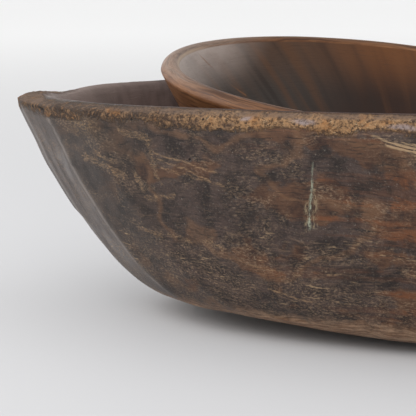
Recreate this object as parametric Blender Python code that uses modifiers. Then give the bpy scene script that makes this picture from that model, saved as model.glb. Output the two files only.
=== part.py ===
"""A long boat-shaped wooden bowl with a smaller round wooden bowl lying loose inside it.

Each bowl is hewn from one block of wood, so each is one solid. The long bowl stands on the
ground on a small flat foot. The round bowl rests tilted on the long bowl's floor and leans
on its front wall, and it lifts straight out. Frame: +X along the long bowl, -Y is the front,
+Z up, with the origin on the ground under the middle of the long bowl.
"""
import math

import bmesh
import bpy
from mathutils import Vector

COLLECTION = "carved_wooden_bowls"

# The long bowl's outside, in metres
OUTER_LENGTH = 0.660
OUTER_WIDTH = 0.360
HULL_HEIGHT = 0.150         # from the base outline up to the rim
BELLY_DEPTH = 0.009         # from the base outline down to the flat foot
OUTER_HEIGHT = HULL_HEIGHT + BELLY_DEPTH
BASE_LENGTH = 0.414
BASE_WIDTH = 0.238
END_FLARE = 0.059           # part of the overhang at each end that rises in a straight line
END_ROUNDNESS = 2.24        # superellipse power of the rest of the end's rise
SIDE_FLARE = 0.025
SIDE_ROUNDNESS = 3.33
BASE_POINTEDNESS = 1.09     # 1.0 is an ellipse in plan, more draws the ends to a point
RIM_POINTEDNESS = 1.11
SHEER = -0.007              # rise of the rim's ends above its middle, negative as they dip
ROCKER = 0.0043             # how far the base outline rises towards its ends
FOOT_SHARE = 0.50           # size of the flat foot against the base outline

# The long bowl's inside
WALL = 0.013                # at the rim, halfway along the sides
PROW_BLOCK = 0.030          # solid wood between each end and the hollow
FLOOR_THICKNESS = 0.033
FLOOR_LENGTH = 0.330
FLOOR_WIDTH = 0.180
HOLLOW_SIDE_ROUNDNESS = 2.9

# The long bowl's rim, halfway along a side: (distance inwards from the outline, depth below the crest)
RIM_SECTION = (
    (0.0, 0.0090), (0.0012, 0.0058), (0.0034, 0.0030),
    (0.0062, 0.0012), (0.0092, 0.0002), (0.0112, 0.0),
)
RIM_END_SHARE = 0.55        # how much of that depth is left at the ends
PROW_BLOCK_ONSET = 4        # power of the distance inwards, high where the rim stays narrow
MOUTH_DROP = 0.0030         # depth below the crest where the hollow's side begins

# The round bowl
INNER_RADIUS = 0.155
INNER_HEIGHT = 0.1296
INNER_FOOT_RADIUS = 0.045
INNER_FLOOR_THICKNESS = 0.016
INNER_WALL = 0.015          # at the lip
INNER_SHOULDER = INNER_HEIGHT - INNER_WALL / 2    # where the side turns over into the lip
INNER_FULLNESS = 0.52       # power of height against radius, 0.5 is a parabola
INNER_CENTRE = (-0.0628, -0.0046, 0.1682)   # middle of its mouth
INNER_TILT_FORWARD = 5.75   # degrees, the far side of the mouth is raised
INNER_TILT_RIGHT = 6.35     # degrees, the +X side of the mouth is lowered

# Mesh fineness
RING_POINTS = 80
HULL_LEVELS = 16
HOLLOW_LEVELS = 9
TURNED_STEPS = 64
WALL_POINTS = 10
LIP_POINTS = 6
POINT_CROWDING = 1.3        # above 1.0 sets the outside's points closer together at the foot
MERGE_DISTANCE = 0.00005


def clear_scene():
    """Start from an empty scene."""
    for item in list(bpy.data.objects):
        bpy.data.objects.remove(item, do_unlink=True)


def wood(name, colour, roughness):
    """A plain waxed or weathered wood finish."""
    material = bpy.data.materials.new(name)
    material.use_nodes = True
    shader = material.node_tree.nodes["Principled BSDF"]
    shader.inputs["Base Color"].default_value = (*colour, 1.0)
    shader.inputs["Roughness"].default_value = roughness
    shader.inputs["Metallic"].default_value = 0.0
    return material


def mix(start, end, share):
    """Linear interpolation."""
    return start + (end - start) * share


def swell(level, roundness):
    """How far a hewn side has reached its full width, 0 to 1, at a level of 0 to 1."""
    return (1.0 - (1.0 - level) ** roundness) ** (1.0 / roundness)


def half_size(level, base, rim, flare, roundness):
    """Half a length or width at a level between the base (0) and the rim (1)."""
    return base + (rim - flare - base) * swell(level, roundness) + flare * level


def plan_ring(half_length, half_width, pointedness, height):
    """A closed ring of points, oval in plan with its ends along X, at height(x)."""
    ring = []
    for step in range(RING_POINTS):
        angle = 2.0 * math.pi * step / RING_POINTS
        across = math.sin(angle)
        x = half_length * math.cos(angle)
        y = half_width * math.copysign(abs(across) ** pointedness, across)
        ring.append(Vector((x, y, height(x))))
    return ring


def sheer(x):
    """Height of the rim's line above its middle."""
    return SHEER * (2.0 * x / OUTER_LENGTH) ** 2


def rocker(x):
    """Height of the base outline above its own middle."""
    return ROCKER * (2.0 * x / BASE_LENGTH) ** 2


def hull_ring(level):
    """The outside of the long bowl at a level between the base (0) and the rim's crest (1)."""
    half_length = half_size(level, BASE_LENGTH / 2, OUTER_LENGTH / 2, END_FLARE, END_ROUNDNESS)
    half_width = half_size(level, BASE_WIDTH / 2, OUTER_WIDTH / 2, SIDE_FLARE, SIDE_ROUNDNESS)
    pointedness = mix(BASE_POINTEDNESS, RIM_POINTEDNESS, level)
    return plan_ring(half_length, half_width, pointedness,
                     lambda x: BELLY_DEPTH + mix(rocker(x), HULL_HEIGHT + sheer(x), level))


def foot_ring():
    """The edge of the flat that the long bowl stands on."""
    half_length = FOOT_SHARE * BASE_LENGTH / 2
    half_width = FOOT_SHARE * BASE_WIDTH / 2
    return plan_ring(half_length, half_width, BASE_POINTEDNESS, lambda x: 0.0)


def rim_ring(inward, drop):
    """One line round the rounded rim, which is less worn towards the ends."""
    def height(x):
        end_share = (2.0 * x / OUTER_LENGTH) ** 2
        return OUTER_HEIGHT + sheer(x) - drop * mix(1.0, RIM_END_SHARE, end_share)

    block_share = (inward / WALL) ** PROW_BLOCK_ONSET
    half_length = OUTER_LENGTH / 2 - mix(inward, PROW_BLOCK, block_share)
    return plan_ring(half_length, OUTER_WIDTH / 2 - inward, RIM_POINTEDNESS, height)


def hollow_ring(level):
    """The inside of the long bowl at a level between its floor (0) and its mouth (1)."""
    mouth_length = OUTER_LENGTH / 2 - PROW_BLOCK
    mouth_width = OUTER_WIDTH / 2 - WALL
    half_length = half_size(level, FLOOR_LENGTH / 2, mouth_length, END_FLARE, END_ROUNDNESS)
    half_width = half_size(level, FLOOR_WIDTH / 2, mouth_width, SIDE_FLARE, HOLLOW_SIDE_ROUNDNESS)
    return plan_ring(half_length, half_width, RIM_POINTEDNESS,
                     lambda x: mix(FLOOR_THICKNESS, OUTER_HEIGHT - MOUTH_DROP + sheer(x), level))


def eased(step, steps):
    """A level from 0 to 1 whose steps are close together near 0, where the shape turns."""
    return 1.0 - math.cos(0.5 * math.pi * step / steps)


def loft(rings):
    """A closed mesh through the rings, in order from the underside round to the hollow's floor."""
    mesh_build = bmesh.new()
    loops = [[mesh_build.verts.new(point) for point in ring] for ring in rings]
    for lower, upper in zip(loops, loops[1:]):
        for step in range(RING_POINTS):
            after = (step + 1) % RING_POINTS
            mesh_build.faces.new((lower[step], lower[after], upper[after], upper[step]))
    mesh_build.faces.new(reversed(loops[0]))
    mesh_build.faces.new(loops[-1])
    return mesh_build


def outer_bowl(collection, material):
    """The long bowl: foot, hull, rounded rim and hollow in one closed loft."""
    rings = [foot_ring()]
    top_level = 1.0 - RIM_SECTION[0][1] / HULL_HEIGHT
    rings += [hull_ring(top_level * eased(step, HULL_LEVELS)) for step in range(1, HULL_LEVELS)]
    rings += [rim_ring(inward, drop) for inward, drop in RIM_SECTION]
    rings += [hollow_ring(eased(step, HOLLOW_LEVELS)) for step in range(HOLLOW_LEVELS, -1, -1)]
    mesh_build = loft(rings)
    mesh = bpy.data.meshes.new("outer_bowl")
    mesh_build.to_mesh(mesh)
    mesh_build.free()
    mesh.shade_smooth()
    mesh.set_sharp_from_angle(angle=math.radians(50.0))
    mesh.materials.append(material)
    bowl = bpy.data.objects.new("outer_bowl", mesh)
    collection.objects.link(bowl)
    return bowl


def outer_side(height):
    """The round bowl's outside radius at a height above its foot, up to its shoulder."""
    share = height / INNER_SHOULDER
    foot_share = (INNER_FOOT_RADIUS / INNER_RADIUS) ** (1.0 / INNER_FULLNESS)
    return INNER_RADIUS * mix(foot_share, 1.0, share) ** INNER_FULLNESS


def turned_profile():
    """Half of the round bowl's section, from the middle of its floor over the lip to its underside."""
    lip_radius = INNER_WALL / 2
    lip_middle = INNER_RADIUS - lip_radius
    inside_radius = INNER_RADIUS - INNER_WALL
    points = []
    for step in range(WALL_POINTS):
        share = step / WALL_POINTS
        height = mix(INNER_FLOOR_THICKNESS, INNER_SHOULDER, share ** 2)
        points.append((inside_radius * share, height))
    for step in range(LIP_POINTS + 1):
        angle = math.pi * (1.0 - step / LIP_POINTS)
        radius = lip_middle + lip_radius * math.cos(angle)
        points.append((radius, INNER_SHOULDER + lip_radius * math.sin(angle)))
    for step in range(1, WALL_POINTS):
        height = INNER_SHOULDER * (1.0 - step / WALL_POINTS) ** POINT_CROWDING
        points.append((outer_side(height), height))
    points += [(INNER_FOOT_RADIUS, 0.0), (0.0, 0.0)]
    return points


def inner_bowl(collection, material):
    """The round bowl: a profile turned about its own axis, tilted, on an empty that lifts it."""
    points = turned_profile()
    mesh = bpy.data.meshes.new("inner_bowl")
    vertices = [(radius, 0.0, height - INNER_HEIGHT) for radius, height in points]
    mesh.from_pydata(vertices, [(index, index + 1) for index in range(len(points) - 1)], [])
    mesh.materials.append(material)
    bowl = bpy.data.objects.new("inner_bowl", mesh)
    collection.objects.link(bowl)
    screw = bowl.modifiers.new("Turn", "SCREW")
    screw.axis = "Z"
    screw.angle = 2.0 * math.pi
    screw.steps = TURNED_STEPS
    screw.render_steps = TURNED_STEPS
    screw.use_merge_vertices = True
    screw.merge_threshold = MERGE_DISTANCE
    screw.use_smooth_shade = True

    lift = bpy.data.objects.new("inner_bowl_lift", None)
    lift.empty_display_size = INNER_RADIUS
    lift.location = INNER_CENTRE
    collection.objects.link(lift)
    bowl.parent = lift
    bowl.rotation_euler = (math.radians(INNER_TILT_FORWARD), math.radians(INNER_TILT_RIGHT), 0.0)
    return bowl


def main():
    clear_scene()
    collection = bpy.data.collections.new(COLLECTION)
    bpy.context.scene.collection.children.link(collection)
    outer_bowl(collection, wood("weathered_dark_wood", (0.085, 0.060, 0.050), 0.65))
    inner_bowl(collection, wood("worn_brown_wood", (0.180, 0.095, 0.055), 0.50))


main()
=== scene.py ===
"""The two carved wooden bowls: worn, hand-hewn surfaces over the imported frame, floor, light and camera.

Both bowls are rebuilt in mesh code from the same outlines as the CAD solids, with adze facets, a
worn and insect-eaten rim, and the shallow swells and hollows of hand work, all inside the CAD box.
Their colours come from two procedural wood materials. Frame: +X along the long bowl, -Y is the
front, +Z up. Lengths are in metres, and a level or a share runs from 0 to 1.
"""
import math

import bpy
import numpy as np
from mathutils import Euler, Matrix, Vector, noise


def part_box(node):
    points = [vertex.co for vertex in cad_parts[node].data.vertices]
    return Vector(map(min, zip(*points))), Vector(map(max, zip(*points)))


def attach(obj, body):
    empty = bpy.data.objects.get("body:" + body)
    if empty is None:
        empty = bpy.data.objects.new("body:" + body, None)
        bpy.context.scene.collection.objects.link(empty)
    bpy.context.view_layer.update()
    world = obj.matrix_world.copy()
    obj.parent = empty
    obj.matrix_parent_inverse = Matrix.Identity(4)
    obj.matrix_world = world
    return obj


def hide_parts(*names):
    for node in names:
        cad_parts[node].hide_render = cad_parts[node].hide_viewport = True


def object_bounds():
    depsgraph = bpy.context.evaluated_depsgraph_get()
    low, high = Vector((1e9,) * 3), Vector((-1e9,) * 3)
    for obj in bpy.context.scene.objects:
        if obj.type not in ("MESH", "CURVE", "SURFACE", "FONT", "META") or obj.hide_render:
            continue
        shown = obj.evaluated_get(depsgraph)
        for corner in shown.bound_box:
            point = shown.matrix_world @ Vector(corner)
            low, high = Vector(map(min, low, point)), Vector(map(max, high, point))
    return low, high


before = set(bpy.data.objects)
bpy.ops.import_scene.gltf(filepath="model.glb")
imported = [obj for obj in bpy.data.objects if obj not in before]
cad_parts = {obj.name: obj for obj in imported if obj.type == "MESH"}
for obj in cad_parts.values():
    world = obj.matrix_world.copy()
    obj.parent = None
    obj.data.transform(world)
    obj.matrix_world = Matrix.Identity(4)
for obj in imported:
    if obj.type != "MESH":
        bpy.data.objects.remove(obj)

cad_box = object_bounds()
OUTER_LOW, OUTER_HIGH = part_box("outer_bowl")

# The long bowl's outline
OUTER_LENGTH = OUTER_HIGH.x - OUTER_LOW.x
OUTER_WIDTH = OUTER_HIGH.y - OUTER_LOW.y
OUTER_HEIGHT = OUTER_HIGH.z
BELLY_DEPTH = 0.009  # from the base outline down to the flat foot
HULL_HEIGHT = OUTER_HEIGHT - BELLY_DEPTH
BASE_LENGTH = 0.414
BASE_WIDTH = 0.238
END_FLARE = 0.059
END_ROUNDNESS = 2.24
SIDE_FLARE = 0.025
SIDE_ROUNDNESS = 3.33
BASE_POINTEDNESS = 1.09  # 1.0 is an ellipse in plan, more draws the ends to a point
RIM_POINTEDNESS = 1.11
SHEER = -0.007  # rise of the rim's ends above its middle
END_LIFT = 0.44  # share of the sheer that the blunt ends win back
ROCKER = 0.0043  # how far the base outline rises towards its ends
BELLY_ROUNDNESS = 1.5  # 1.0 is a straight cone, more is a rounder underside
FOOT_SHARE = 0.5  # size of the flat foot against the base outline
BASE_LEVEL = 0.005  # where the belly turns into the side
WALL = 0.013
PROW_BLOCK = 0.03  # solid wood behind each prow's tip
PROW_BLOCK_ONSET = 4
FLOOR_THICKNESS = 0.033
FLOOR_LENGTH = 0.33
FLOOR_WIDTH = 0.18
HOLLOW_SIDE_ROUNDNESS = 2.9
RIM_INWARD = (0.0, 0.0012, 0.0034, 0.0062, 0.0092, 0.0112)
RIM_DROP = (0.009, 0.0058, 0.003, 0.0012, 0.0002, 0.0)
RIM_END_SHARE = 0.55
MOUTH_DROP = 0.003

# Adze facets at the ends of the long bowl
FACET_EDGES = (0.0, 0.016, 0.05, 0.082, 0.112, 0.14)  # distance of each crease from the middle line
FACET_START = (0.35, 0.6)  # share of the half length over which the facets set in
FACET_WANDER = 0.003  # how far a crease strays from its line
FACET_SOFTNESS = 0.0022  # half the width of a worn crease
FACET_HOLLOW = 0.0007  # how far each cut is hollowed between its creases
NOSE_FLATNESS = 0.7  # how square the cut across each prow's tip is
# How far the creases stand out from the plain outline, as (level, distance), broken near the keel
PROUD = (
    (0.0, 0.0056), (0.12, 0.004), (0.3, 0.0018), (0.35, 0.0014), (0.39, 0.0028),
    (0.6, 0.0024), (0.76, 0.0014), (0.88, 0.0019), (1.0, 0.0026),
)
BREAK_LEVELS = (0.35, 0.39)
BREAK_REACH = 0.05  # creases further than this from the middle line have no break

# Hand work and wear on the long bowl
SWELL_DEPTH = 0.0007
CUT_DEPTH = 0.00035
BAND_REACH = 0.013  # how far below its crest the rim is worn
BAND_WANDER = 0.004
BAND_PIT_DEPTH = 0.0005
BAND_CHIP_DEPTH = 0.0004
BAND_EDGE_DEPTH = 0.0004
BLOCK_REACH = 0.004  # the same for the tops of the prows
BLOCK_PIT_DEPTH = 0.0006
BLOCK_CHIP_DEPTH = 0.0003
TIP_CALM = 0.65  # share of the hand work that fades out at the prows' tips
NOSE_WEAR = 0.0054  # rounded off the top of each prow's tip, lengthways
NOSE_DEPTH = 0.01  # and how far down that reaches
FAR_WEAR = 0.0024  # deepest wear of the rim beside the prow, on the far side
FAR_WEAR_MIDDLE = -0.306
FAR_WEAR_REACH = 0.027
FAR_WEAR_DEPTH = 0.035
SAG = 0.0028  # how far the lower edge hangs below its plain line halfway along
SAG_REBOUND = 0.0017  # and how far it then rises above that line towards the prows
CREASE_WIDTH = 0.0045  # half the width that a crease is rubbed to

# The round bowl
INNER_RADIUS = 0.155
INNER_HEIGHT = 0.1296
INNER_FOOT_RADIUS = 0.045
INNER_FLOOR_THICKNESS = 0.016
INNER_WALL = 0.015
INNER_SHOULDER = INNER_HEIGHT - INNER_WALL / 2
INNER_SLOPE = math.radians(32.0)  # the inside wall's lean from upright, just under the lip
INNER_FULLNESS = 0.52  # power of height against radius, 0.5 is a parabola
INNER_CROWDING = 1.3  # above 1.0 sets the outside's rings closer together at the foot
INNER_CENTRE = Vector((-0.0628, -0.0046, 0.1682))
INNER_TILT = (math.radians(5.75), math.radians(6.35), 0.0)
INNER_LEAST_WEAR = 0.0002
INNER_SWELL_DEPTH = 0.0002
INNER_CUT_DEPTH = 0.0001

# Marks on the long bowl's front: lines as (start, end, half width), each place an (x, z)
SCUFFS = (
    ((-0.252, 0.1185), (-0.221, 0.108), 0.0052),
    ((-0.244, 0.1235), (-0.226, 0.1165), 0.003),
    ((-0.201, 0.1375), (-0.198, 0.122), 0.0036),
    ((-0.198, 0.122), (-0.194, 0.106), 0.0032),
    ((-0.221, 0.14), (-0.199, 0.1345), 0.0052),
    ((-0.205, 0.0945), (-0.185, 0.098), 0.0034),
    ((-0.214, 0.072), (-0.196, 0.068), 0.0034),
    ((-0.19, 0.069), (-0.172, 0.0675), 0.002),
    ((-0.163, 0.069), (-0.15, 0.0655), 0.0024),
    ((-0.212, 0.11), (-0.206, 0.102), 0.004),
)
SCRATCHES = (
    ((-0.197, 0.126), (-0.152, 0.1165), 0.0013),
    ((-0.194, 0.1215), (-0.158, 0.112), 0.0012),
    ((-0.192, 0.115), (-0.148, 0.11), 0.0014),
    ((-0.133, 0.056), (-0.112, 0.054), 0.0012),
    ((-0.08, 0.053), (-0.07, 0.0545), 0.0011),
    ((-0.12, 0.0405), (-0.09, 0.033), 0.0012),
)
SCRAPE = (
    ((-0.0872, 0.127), (-0.0885, 0.106), 0.0012),
    ((-0.0885, 0.106), (-0.0905, 0.084), 0.0018),
)
SCRAPE_HALO = (
    ((-0.086, 0.108), (-0.087, 0.086), 0.0036),
    ((-0.092, 0.1), (-0.0915, 0.083), 0.0028),
)
BARED_GRAIN = (
    ((-0.049, 0.144), (0.03, 0.13), 0.0026),
    ((-0.04, 0.1405), (0.035, 0.1255), 0.0034),
    ((-0.028, 0.137), (0.028, 0.1225), 0.0036),
    ((0.15, 0.09), (0.19, 0.086), 0.003),
)
BARED_SLANT = 0.19  # fall of the bared grain's lines for each metre along X
FRONT_MARKS = (-0.04, -0.08)  # y over which the marks on the front set in
# Patches as (middle, reach along each axis)
UNDER_RIM = ((-0.25, -0.095, 0.142), (0.024, 0.05, 0.014))
# Polished patches on the rim, where a lilac sheen is painted
POLISHED_SHEEN_PATCHES = (
    ((-0.094, -0.171, 0.1525), (0.012, 0.02, 0.003)),
    ((-0.131, -0.163, 0.153), (0.006, 0.02, 0.0022)),
    ((-0.03, -0.175, 0.151), (0.016, 0.02, 0.0028)),
    ((0.04, -0.175, 0.151), (0.014, 0.02, 0.0028)),
    ((0.07, 0.175, 0.152), (0.016, 0.02, 0.003)),
)
HOLES = (
    (-0.124, -0.165, 0.1545), (-0.076, -0.174, 0.1555), (-0.066, -0.176, 0.1545),
    (-0.17, -0.146, 0.124), (0.085, 0.172, 0.154),
)
HOLE_REACH = (0.0014, 0.004, 0.0014)
# One split in the round bowl's inside, in that bowl's own coordinates, as (start, end, half width)
SPLIT = ((-0.144, 0.023, 0.0), (-0.105, 0.055, -0.037), 0.0014)

# The long bowl's colours
CHARCOAL = (0.013, 0.009, 0.008)
SOOTY_BROWN = (0.049, 0.033, 0.029)
DUST_SPECK = (0.165, 0.14, 0.118)
PALE_SPECK = (0.4, 0.36, 0.3)
DEEP_BROWN = (0.032, 0.014, 0.009)
WARM_BROWN = (0.086, 0.04, 0.021)
RED_BROWN = (0.145, 0.05, 0.018)
ARC_BROWN = (0.135, 0.068, 0.034)
GRAIN_LIGHT = (0.165, 0.105, 0.068)
GRAIN_DARK = (0.011, 0.008, 0.007)
SHOULDER_DARK = (0.014, 0.01, 0.008)
SHOULDER_LIGHT = (0.04, 0.028, 0.021)
# Painted sheen on the prows' cuts: its dark, light and brightest colours
CUT_SHEEN_DARK = (0.06, 0.048, 0.044)
CUT_SHEEN_LIGHT = (0.128, 0.11, 0.103)
CUT_SHEEN = (0.185, 0.168, 0.162)
CUT_GRIME = (0.045, 0.032, 0.026)
CUT_NOSE = (0.055, 0.038, 0.03)
CUT_TOP = (0.06, 0.043, 0.034)
FUZZ = (0.235, 0.158, 0.1)
UNDER_RIM_TAN = (0.25, 0.155, 0.075)
NICK_TAN = (0.33, 0.225, 0.13)
SCUFF_TINT = (0.26, 0.165, 0.095)
SCUFF_TAN = (0.37, 0.225, 0.115)
SCRATCH_TAN = (0.33, 0.205, 0.11)
SCRAPE_EDGE = (0.31, 0.24, 0.145)
SCRAPE_CORE = (0.33, 0.36, 0.27)
BARE_WOOD = (0.39, 0.265, 0.15)
CREASE_RUBBED = (0.15, 0.126, 0.11)
CREASE_LINE = (0.24, 0.212, 0.196)
# The lower edge's pale band, worn and partly painted light from the floor
EDGE_DARK = (0.17, 0.092, 0.052)
EDGE_LIGHT = (0.33, 0.208, 0.13)
HOLLOW_DARK = (0.05, 0.031, 0.027)
HOLLOW_LIGHT = (0.105, 0.07, 0.06)
# painted sheen at the hollow's blunt ends
HOLLOW_END_SHEEN = (0.23, 0.172, 0.15)
RAW_DARK = (0.046, 0.024, 0.014)
RAW_OCHRE = (0.315, 0.178, 0.084)
RAW_GLINT = (0.5, 0.345, 0.2)
RAW_CREVICE = (0.04, 0.022, 0.014)
RAW_GRIME = (0.046, 0.027, 0.018)
RAW_CURL = (0.23, 0.13, 0.065)
RAW_ORANGE = (0.31, 0.14, 0.047)
RAW_SHADE = (0.08, 0.048, 0.033)
RAW_WORN_TOP = (0.14, 0.092, 0.066)
RAW_LILAC_SHEEN = (0.275, 0.22, 0.215)
HOLE_BLACK = (0.008, 0.005, 0.004)

# The round bowl's colours
BROWN_DARK = (0.108, 0.044, 0.018)
BROWN_LIGHT = (0.172, 0.076, 0.033)
LINE_DARK = (0.055, 0.022, 0.011)
LINE_FINE = (0.07, 0.03, 0.016)
LINE_LIGHT = (0.29, 0.145, 0.062)
LOW_BROWN = (0.045, 0.024, 0.016)
# The lip's top, darkened as painted shade, then its painted highlights on the left and along the inner
# edge
LIP_TOP_SHADE_DARK = (0.05, 0.022, 0.011)
LIP_TOP_SHADE_LIGHT = (0.125, 0.06, 0.03)
LIP_LEFT_HIGHLIGHT = (0.3, 0.225, 0.18)
LIP_ARRIS_HIGHLIGHT = (0.4, 0.3, 0.215)
# The round bowl's inside: darker lower down as painted shade, greyer on the left as painted sheen
DEEP_SHADE_SHEEN_GREY = (0.046, 0.037, 0.032)
DEEP_SHADE_WARM = (0.022, 0.009, 0.005)
SHALLOW_SHEEN_GREY = (0.075, 0.042, 0.027)
SHALLOW_WARM = (0.11, 0.04, 0.012)
STREAK_LIGHT = (0.125, 0.05, 0.018)
STREAK_DARK = (0.018, 0.012, 0.01)
INSIDE_LINE = (0.02, 0.013, 0.01)
# A painted sheen high on the left inside
LEFT_PAINTED_SHEEN = (0.46, 0.385, 0.345)
SPLIT_TAN = (0.2, 0.09, 0.038)

# Floor, light and camera
FLOOR_SIZE = 40.0
# The floor's painted light, darker near the bowls and paler far off
FLOOR_NEAR_SHADED = (0.535, 0.535, 0.545)
FLOOR_FAR_LIT = (0.93, 0.93, 0.93)
# Lights as (name, place, target, watts, size)
LIGHTS = (
    ("key", (-1.9, -0.35, 1.3), (0.0, 0.0, 0.1), 28.0, 1.4),
    ("fill", (0.1, -2.1, 1.05), (0.0, 0.0, 0.0), 15.5, 1.4),
)
DOME_MIDDLE = (-0.25, -0.45, 0.85)  # where the soft light is brightest
DOME_LOW = 0.33
DOME_TOP = 1.1
BACKDROP_MIDDLE = (-0.3, 1.0, 0.0)
BACKDROP = 1.1  # strength added low down behind the bowls
CAMERA_AZIMUTH = math.radians(11.727)
CAMERA_PITCH = math.radians(8.565)
CAMERA_DISTANCE = 1.1179
CAMERA_AIM_ALONG = 0.2718  # the aim, as a share of the whole length
CAMERA_AIM_UP = 0.5191  # and of the whole height
CAMERA_LENS = 155.77
CAMERA_SENSOR = 36.0

# Mesh fineness
AROUND = 880
UNDERSIDE_RINGS = 4
BELLY_RINGS = 8
HULL_RINGS = 50
RIM_RINGS = 16
HOLLOW_RINGS = 26
INNER_AROUND = 560
INNER_INSIDE_RINGS = 60
INNER_LIP_RINGS = 20
INNER_OUTSIDE_RINGS = 60
INNER_FOOT_RINGS = 3


# ------------------------ shape helpers

def mix(start, end, share):
    """Linear interpolation."""
    return start + (end - start) * share


def smooth_step(value, low, high):
    """0 below low, 1 above high, and a smooth turn between."""
    share = np.clip((value - low) / (high - low), 0.0, 1.0)
    return share * share * (3.0 - 2.0 * share)


def rough(rings, scale, seed):
    """Smooth noise of about -1 to 1 at every point, at scale features a metre on each axis."""
    shift = 17.3 * seed
    at = rings.reshape(-1, 3) * np.asarray(scale) + shift
    return np.array([noise.noise(Vector(p)) for p in at]).reshape(rings.shape[:2])


def swell(level, roundness):
    """How far a hewn side has reached its full width, 0 to 1, at a level of 0 to 1."""
    return (1.0 - (1.0 - level) ** roundness) ** (1.0 / roundness)


def half_size(level, base, rim, flare, roundness):
    """Half a length or width at a level between the base (0) and the rim (1)."""
    return base + (rim - flare - base) * swell(level, roundness) + flare * level


def sheer(x):
    """Height of the rim's line above its middle, levelling out at the very ends."""
    share = (2.0 * x / OUTER_LENGTH) ** 2
    return SHEER * share * (1.0 - END_LIFT * share ** 3)


def rocker(x):
    """Height of the base outline above its own middle."""
    return ROCKER * (2.0 * x / BASE_LENGTH) ** 2


def crease_proud(level, at):
    """How far a crease at a distance from the middle line stands out at a level."""
    levels, heights = zip(*PROUD)
    smooth = [(at_level, height) for at_level, height in PROUD if at_level not in BREAK_LEVELS]
    plain = np.interp(level, *zip(*smooth))
    return np.interp(level, levels, heights) if at <= BREAK_REACH else plain


def facet_line(y, half_length, half_width, pointedness, level):
    """Distance along X of the faceted outline at y from the middle line, in straight cuts."""
    def outline(at):
        across = np.clip(at / half_width, 0.0, 1.0) ** (1.0 / pointedness)
        return half_length * np.sqrt(1.0 - across ** 2)

    line = outline(y)
    for number, (start, end) in enumerate(zip(FACET_EDGES, FACET_EDGES[1:])):
        if end >= half_width:
            break
        here = (y >= start) & (y < end)
        share = (y - start) / (end - start)
        x_start = outline(start) + crease_proud(level, start)
        x_end = outline(end) + crease_proud(level, end)
        if number == 0:
            x_start = mix(outline(start), x_end, NOSE_FLATNESS)
        cut = mix(x_start, x_end, share) - FACET_HOLLOW * 4.0 * share * (1.0 - share)
        line = np.where(here, cut, line)
    return line


def plan_ring(half_length, half_width, pointedness, level, strength=1.0):
    """X and Y round one ring, oval in plan, with the adze's flat cuts towards its ends."""
    angle = 2.0 * math.pi * np.arange(AROUND) / AROUND
    across = np.sin(angle)
    x = half_length * np.cos(angle)
    y = half_width * np.sign(across) * np.abs(across) ** pointedness
    if strength > 0.0:
        wander = [noise.noise(Vector((level * 2.5, 3.0 * side, 9.0 * end)))
                  for side in (-1, 1) for end in (-1, 1)]
        wander = np.array(wander)[(2 * (y > 0) + (x > 0)).astype(int)]
        taps = [facet_line(np.abs(np.abs(y) + FACET_WANDER * wander + shift * FACET_SOFTNESS),
                           half_length, half_width, pointedness, level)
                for shift in (-1.0, -0.5, 0.0, 0.5, 1.0)]
        cut = np.sign(x) * sum(taps) / len(taps)
        share = strength * smooth_step(np.abs(x) / half_length, *FACET_START)
        x = mix(x, cut, share)
    return x, y


def hull_ring(level):
    """The outside of the long bowl at a level between the base (0) and the rim's crest (1)."""
    x, y = plan_ring(
        half_size(level, BASE_LENGTH / 2, OUTER_LENGTH / 2, END_FLARE, END_ROUNDNESS),
        half_size(level, BASE_WIDTH / 2, OUTER_WIDTH / 2, SIDE_FLARE, SIDE_ROUNDNESS),
        mix(BASE_POINTEDNESS, RIM_POINTEDNESS, level), level)
    z = BELLY_DEPTH + mix(rocker(x), HULL_HEIGHT + sheer(x), level)
    return np.stack((x, y, z), 1)


def foot_ring(share):
    """A ring of the flat underside, where share 1 is its edge."""
    x, y = plan_ring(share * FOOT_SHARE * BASE_LENGTH / 2, share * FOOT_SHARE * BASE_WIDTH / 2,
                     BASE_POINTEDNESS, 0.0, 0.0)
    return np.stack((x, y, np.zeros(AROUND)), 1)


def belly_ring(share):
    """A ring of the rounded underside, from the flat foot's edge (0) to the base outline (1)."""
    foot, base = foot_ring(1.0), hull_ring(BASE_LEVEL)
    ring = mix(foot, base, share)
    ring[:, 2] = base[:, 2] * share ** BELLY_ROUNDNESS
    return ring


def rim_ring(share):
    """One line round the rim, from its outer edge (0) to its crest (1)."""
    inward = np.interp(share, np.linspace(0.0, 1.0, len(RIM_INWARD)), RIM_INWARD)
    drop = np.interp(share, np.linspace(0.0, 1.0, len(RIM_DROP)), RIM_DROP)
    block = (inward / WALL) ** PROW_BLOCK_ONSET
    level = 1.0 - RIM_END_SHARE * drop / HULL_HEIGHT
    end_flare = END_FLARE * (1.0 - level) * (1.0 - block)
    side_flare = SIDE_FLARE * drop / HULL_HEIGHT
    x, y = plan_ring(OUTER_LENGTH / 2 - mix(inward, PROW_BLOCK, block) - end_flare,
                     OUTER_WIDTH / 2 - inward - side_flare,
                     RIM_POINTEDNESS, level, 1.0 - float(smooth_step(share, 0.6, 1.0)))
    z = OUTER_HEIGHT + sheer(x) - drop * mix(1.0, RIM_END_SHARE, (2.0 * x / OUTER_LENGTH) ** 2)
    return np.stack((x, y, z), 1)


def hollow_ring(level):
    """The inside of the long bowl at a level between its floor (0) and its mouth (1)."""
    x, y = plan_ring(
        half_size(level, FLOOR_LENGTH / 2, OUTER_LENGTH / 2 - PROW_BLOCK, END_FLARE, END_ROUNDNESS),
        half_size(level, FLOOR_WIDTH / 2, OUTER_WIDTH / 2 - WALL, SIDE_FLARE, HOLLOW_SIDE_ROUNDNESS),
        RIM_POINTEDNESS, level, 0.0)
    z = mix(FLOOR_THICKNESS, OUTER_HEIGHT - MOUTH_DROP + sheer(x), level)
    return np.stack((x, y, z), 1)


def floor_ring(share):
    """A ring of the hollow's floor, where share 1 is its edge."""
    ring = hollow_ring(0.0)
    return np.stack((ring[:, 0] * share, ring[:, 1] * share, ring[:, 2]), 1)


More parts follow.
